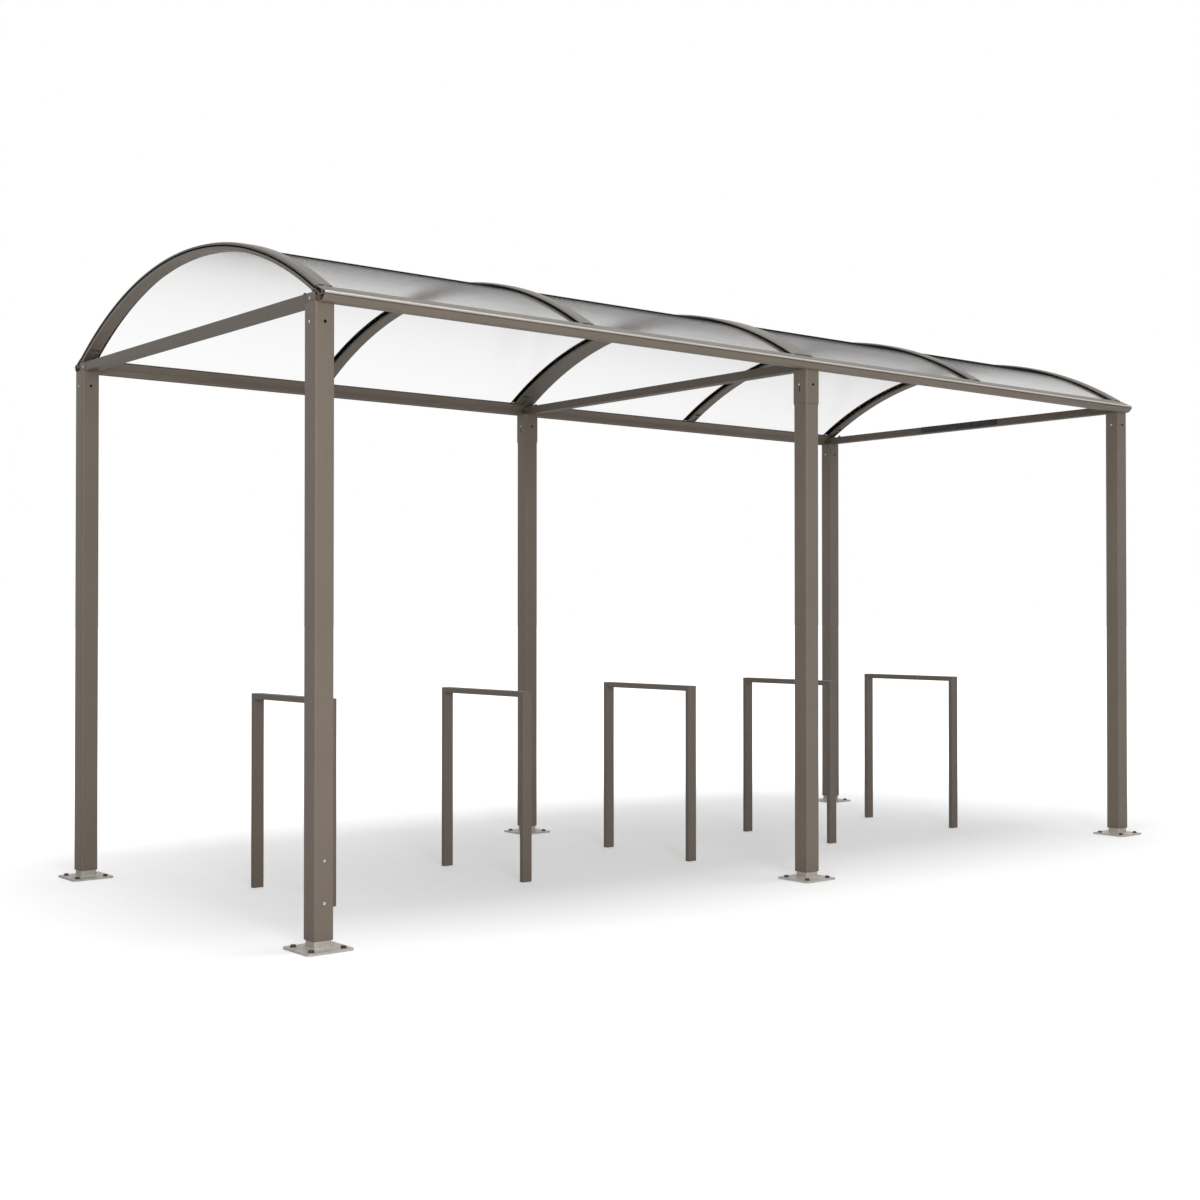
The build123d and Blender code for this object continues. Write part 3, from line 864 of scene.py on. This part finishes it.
def bead_highlight_trim(name, beam):
    """Outer slice of a round bar along the bead of one beam."""
    low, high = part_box(beam)
    outward = -1 if low.y < 0 else 1
    tip = low.y if outward < 0 else high.y
    bead_z = low.z + BEAD_ABOVE_FOOT
    trim = fresh_piece(
        name,
        bpy.ops.mesh.primitive_cylinder_add,
        vertices=48,
        radius=BEAD_RADIUS + TRIM_THICK,
        depth=high.x - low.x,
        location=((low.x + high.x) / 2, tip - outward * BEAD_RADIUS, bead_z),
        rotation=(0, math.pi / 2, 0),
    )
    cuts = [
        ((0, tip - outward * TRIM_DEPTH, 0), (0, -outward, 0)),
        ((0, 0, bead_z + TRIM_HALF_HEIGHT), (0, 0, 1)),
        ((0, 0, bead_z - TRIM_HALF_HEIGHT), (0, 0, -1)),
    ]
    for point, normal in cuts:
        bpy.ops.mesh.select_all(action="SELECT")
        bpy.ops.mesh.bisect(plane_co=point, plane_no=normal, use_fill=True, clear_outer=True)
    leave_edit(trim)
    shade_smooth(35)
    trim.data.materials.append(highlight_trim_metal)
    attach(trim, "root")
    return trim


trims = [bead_highlight_trim(name.replace("eaves_beam", "bead_highlight_trim"), name) for name in beam_names]
print("bead trims:", len(trims), [len(trim.data.polygons) for trim in trims])

# %% [markdown]
# ## Rubber seals, partly painted shade
#
# The covers press the sheets down on rubber. It is extruded by the metre and shows as a black line
# along every edge of a cover and under every sheet's edge. These seals are real, and their black
# line is also painted shade that stands for the shaded sides of the covers and bars. The end bars
# carry a thicker seal in their outer groove, where no sheet lies, and its black too stands partly
# for shade along the end bars.
#
# A seal has the same profile all along the arc, which is what spin is for: a small rectangle is
# laid across the arc at the front eaves and spun about the roof's axis to the rear ones.

# %% Spin a seal over the roof
SEAL_STEPS = 96
LIP_WIDE = 3 * MM
LIP_HIGH = 4 * MM
SIDE_WIDE = 1.5 * MM
SIDE_HIGH = 3 * MM
GROOVE_WIDE = 20.5 * MM
GROOVE_BULGE = 1.5 * MM
CLEAR = 0.7 * MM
SHEET_THICK = 6 * MM
COVER_RISE = 12.7 * MM

sheet_underside = ROOF_RADIUS - SHEET_THICK
lip_radii = (ROOF_RADIUS, ROOF_RADIUS + LIP_HIGH)
side_radii = (sheet_underside - SIDE_HIGH, sheet_underside)
groove_radii = (sheet_underside, ROOF_RADIUS)

roof_axis = Vector((0, 0, roof_axis_z))
cover_angle = math.asin(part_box("arch_cover_2")[1].y / (ROOF_RADIUS + COVER_RISE))
bar_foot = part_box("arch_2")[0].z + CLEAR
bar_angle = math.acos((bar_foot - roof_axis_z) / side_radii[0])
print("covers reach", round(math.degrees(cover_angle), 1), "degrees each way")


def arc_seal(name, x_low, x_high, inner_radius, outer_radius, half_angle):
    """Rectangular seal between two radii, from the front eaves over the crest to the rear."""
    radius = (inner_radius + outer_radius) / 2
    seal = fresh_piece(name, bpy.ops.mesh.primitive_plane_add, size=1)
    bpy.ops.mesh.select_all(action="SELECT")
    bpy.ops.transform.resize(value=(x_high - x_low, outer_radius - inner_radius, 1))
    bpy.ops.object.mode_set(mode="OBJECT")
    seal.rotation_euler = (math.pi / 2 + half_angle, 0, 0)
    seal.location = (
        (x_low + x_high) / 2,
        -radius * math.sin(half_angle),
        roof_axis_z + radius * math.cos(half_angle),
    )
    bpy.ops.object.transform_apply(location=True, rotation=True, scale=True)
    bpy.ops.object.mode_set(mode="EDIT")
    bpy.ops.mesh.select_all(action="SELECT")
    bpy.ops.mesh.spin(steps=SEAL_STEPS, angle=2 * half_angle, center=roof_axis, axis=(1, 0, 0))
    leave_edit(seal)
    shade_smooth(35)
    seal.data.materials.append(black_rubber_and_painted_shade)
    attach(seal, "root")
    return seal


seals = []
for number in range(1, 6):
    low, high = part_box(f"arch_cover_{number}")
    left_end, right_end = number == 1, number == 5
    if not left_end:
        name = f"cover_seal_and_shade_{number}_left"
        seals.append(arc_seal(name, low.x - LIP_WIDE, low.x, *lip_radii, cover_angle))
    if not right_end:
        name = f"cover_seal_and_shade_{number}_right"
        seals.append(arc_seal(name, high.x, high.x + LIP_WIDE, *lip_radii, cover_angle))
    bar_low, bar_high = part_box(f"arch_{number}")
    if left_end:
        edge = bar_low.x - GROOVE_BULGE
        seals.append(arc_seal("end_seal_and_shade_left", edge, edge + GROOVE_WIDE, *groove_radii, bar_angle))
    else:
        name = f"bar_seal_and_shade_{number}_left"
        seals.append(arc_seal(name, bar_low.x - SIDE_WIDE, bar_low.x, *side_radii, bar_angle))
    if right_end:
        edge = bar_high.x + GROOVE_BULGE
        seals.append(arc_seal("end_seal_and_shade_right", edge - GROOVE_WIDE, edge, *groove_radii, bar_angle))
    else:
        name = f"bar_seal_and_shade_{number}_right"
        seals.append(arc_seal(name, bar_high.x, bar_high.x + SIDE_WIDE, *side_radii, bar_angle))
print("seals:", len(seals), "of", len(seals[0].data.polygons), "faces")

# %% [markdown]
# ## Ground and light
#
# The shelter stands on a pale seamless floor, under a white sky that is brighter overhead, and
# brighter from the right and the rear than from the other sides. The roof takes the overhead
# light away, which draws its soft shadow on the floor. One large softbox in front on the left
# shines in under the roof, and its light fades along the shelter. A second one hangs overhead.
#
# What the camera, a reflection or a clear sheet sees of the sky is plain white. To the camera, and
# through the sheets, the floor glows by itself, weakly near a point in front of the middle of the
# shelter and more so far away, so that it meets the white sky without a horizon. The weak glow near
# that point is a painted shadow that deepens the roof's own shadow. The floor also glows faintly
# for diffuse rays, a painted light that lifts the undersides.

# %% Floor
FLOOR_SIZE = 400
FLOOR_DROP = 0.5 * MM
FLOOR_GREY = (0.8, 0.8, 0.8, 1)
GLOW_NEAR = 0.34
GLOW_FAR = 0.95
GLOW_NEAR_REACH = 1.2
GLOW_FAR_REACH = 7.0
PAINTED_SHADOW_CENTRE = (0.3, -0.7, 0)
DIFFUSE_RAY_GLOW = 0.2

bpy.ops.object.select_all(action="DESELECT")
bpy.ops.mesh.primitive_plane_add(size=FLOOR_SIZE, location=(0, 0, -FLOOR_DROP))
floor = bpy.context.object
floor.name = "studio_floor"
floor_paint, tree = new_material("matt_white_floor_paint")
# The glow is weakest near a point in front of the middle: a painted shadow on the floor.
reach_inputs = {0: object_place(tree), 1: PAINTED_SHADOW_CENTRE}
reach = add_node(tree, "ShaderNodeVectorMath", {"operation": "DISTANCE"}, reach_inputs)
glow_with_painted_shadow = remap(
    tree,
    reach.outputs["Value"],
    GLOW_NEAR,
    GLOW_FAR,
    GLOW_NEAR_REACH,
    GLOW_FAR_REACH,
    {"interpolation_type": "SMOOTHSTEP"},
)
rays = add_node(tree, "ShaderNodeLightPath").outputs
floor_seen = calculate(tree, "MAXIMUM", rays["Is Camera Ray"], rays["Is Transmission Ray"])
camera_glow = calculate(tree, "MULTIPLY", floor_seen, glow_with_painted_shadow)
# The floor glows for diffuse rays: painted light on the undersides.
glow = calculate(tree, "MULTIPLY_ADD", rays["Is Diffuse Ray"], DIFFUSE_RAY_GLOW, camera_glow)
matt = add_node(tree, "ShaderNodeBsdfDiffuse", inputs={"Color": FLOOR_GREY}).outputs["BSDF"]
lift = add_node(tree, "ShaderNodeEmission", inputs={"Color": WHITE, "Strength": glow})
floor_sum = add_node(tree, "ShaderNodeAddShader", inputs={0: matt, 1: lift.outputs["Emission"]})
add_node(tree, "ShaderNodeOutputMaterial", inputs={"Surface": floor_sum.outputs["Shader"]})
floor.data.materials.append(floor_paint)
floor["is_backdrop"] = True
print("floor", [round(v, 1) for v in floor.dimensions])

# %% Sky and softboxes
HORIZON_STRENGTH = 0.05
ZENITH_STRENGTH = 0.45
RIGHT_STRENGTH = 0.6
REAR_STRENGTH = 0.3
OVERHEAD_POWER = 2.0

world = bpy.data.worlds.new("white_studio")
bpy.context.scene.world = world
world.use_nodes = True
tree = world.node_tree
tree.nodes.clear()
rays = add_node(tree, "ShaderNodeLightPath").outputs
seen = calculate(tree, "MAXIMUM", rays["Is Camera Ray"], rays["Is Glossy Ray"])
seen_or_through = calculate(tree, "MAXIMUM", seen, rays["Is Transmission Ray"])
direction = add_node(tree, "ShaderNodeTexCoord").outputs["Generated"]
towards = add_node(tree, "ShaderNodeSeparateXYZ", inputs={"Vector": direction}).outputs
steep_settings = {"operation": "POWER", "use_clamp": True}
steep = add_node(tree, "ShaderNodeMath", steep_settings, {0: towards["Z"], 1: OVERHEAD_POWER})
overhead = remap(
    tree, steep.outputs["Value"], HORIZON_STRENGTH, HORIZON_STRENGTH + ZENITH_STRENGTH
)
from_right = remap(tree, towards["X"], high=RIGHT_STRENGTH)
from_rear = remap(tree, towards["Y"], high=REAR_STRENGTH)
from_sides = calculate(tree, "ADD", from_right, from_rear)
brightness = calculate(tree, "ADD", overhead, from_sides)
lighting_sky = add_node(
    tree, "ShaderNodeBackground", inputs={"Color": WHITE, "Strength": brightness}
).outputs["Background"]
white_sky = add_node(
    tree, "ShaderNodeBackground", inputs={"Color": WHITE, "Strength": 1.0}
).outputs["Background"]
sky = blend_shaders(tree, seen_or_through, lighting_sky, white_sky)
add_node(tree, "ShaderNodeOutputWorld", inputs={"Surface": sky})

shelter_middle = (cad_low + cad_high) / 2


def softbox(name, place, width, height, watts):
    """Rectangular lamp that faces the middle of the shelter."""
    lamp_data = bpy.data.lights.new(name, "AREA")
    lamp_data.shape = "RECTANGLE"
    lamp_data.size = width
    lamp_data.size_y = height
    lamp_data.energy = watts
    lamp = bpy.data.objects.new(name, lamp_data)
    lamp.location = place
    lamp.rotation_euler = (shelter_middle - lamp.location).to_track_quat("-Z", "Y").to_euler()
    bpy.context.scene.collection.objects.link(lamp)
    return lamp


lamps = [
    softbox("front_left_softbox", (-5, -9.5, 2.8), width=3, height=3, watts=380),
    softbox("overhead_softbox", (0.01, -1.5, 9), width=6, height=3, watts=330),
]
bpy.context.scene.view_settings.view_transform = "Standard"
print("lamps:", [(lamp.name, lamp.data.energy) for lamp in lamps])

# %% [markdown]
# ## Finish
#
# The box of the dressed shelter is measured, in the same way as the construction model's box at the
# start. The dressed shelter has to stay in the box of its construction model.

# %% Measure the size
low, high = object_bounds()
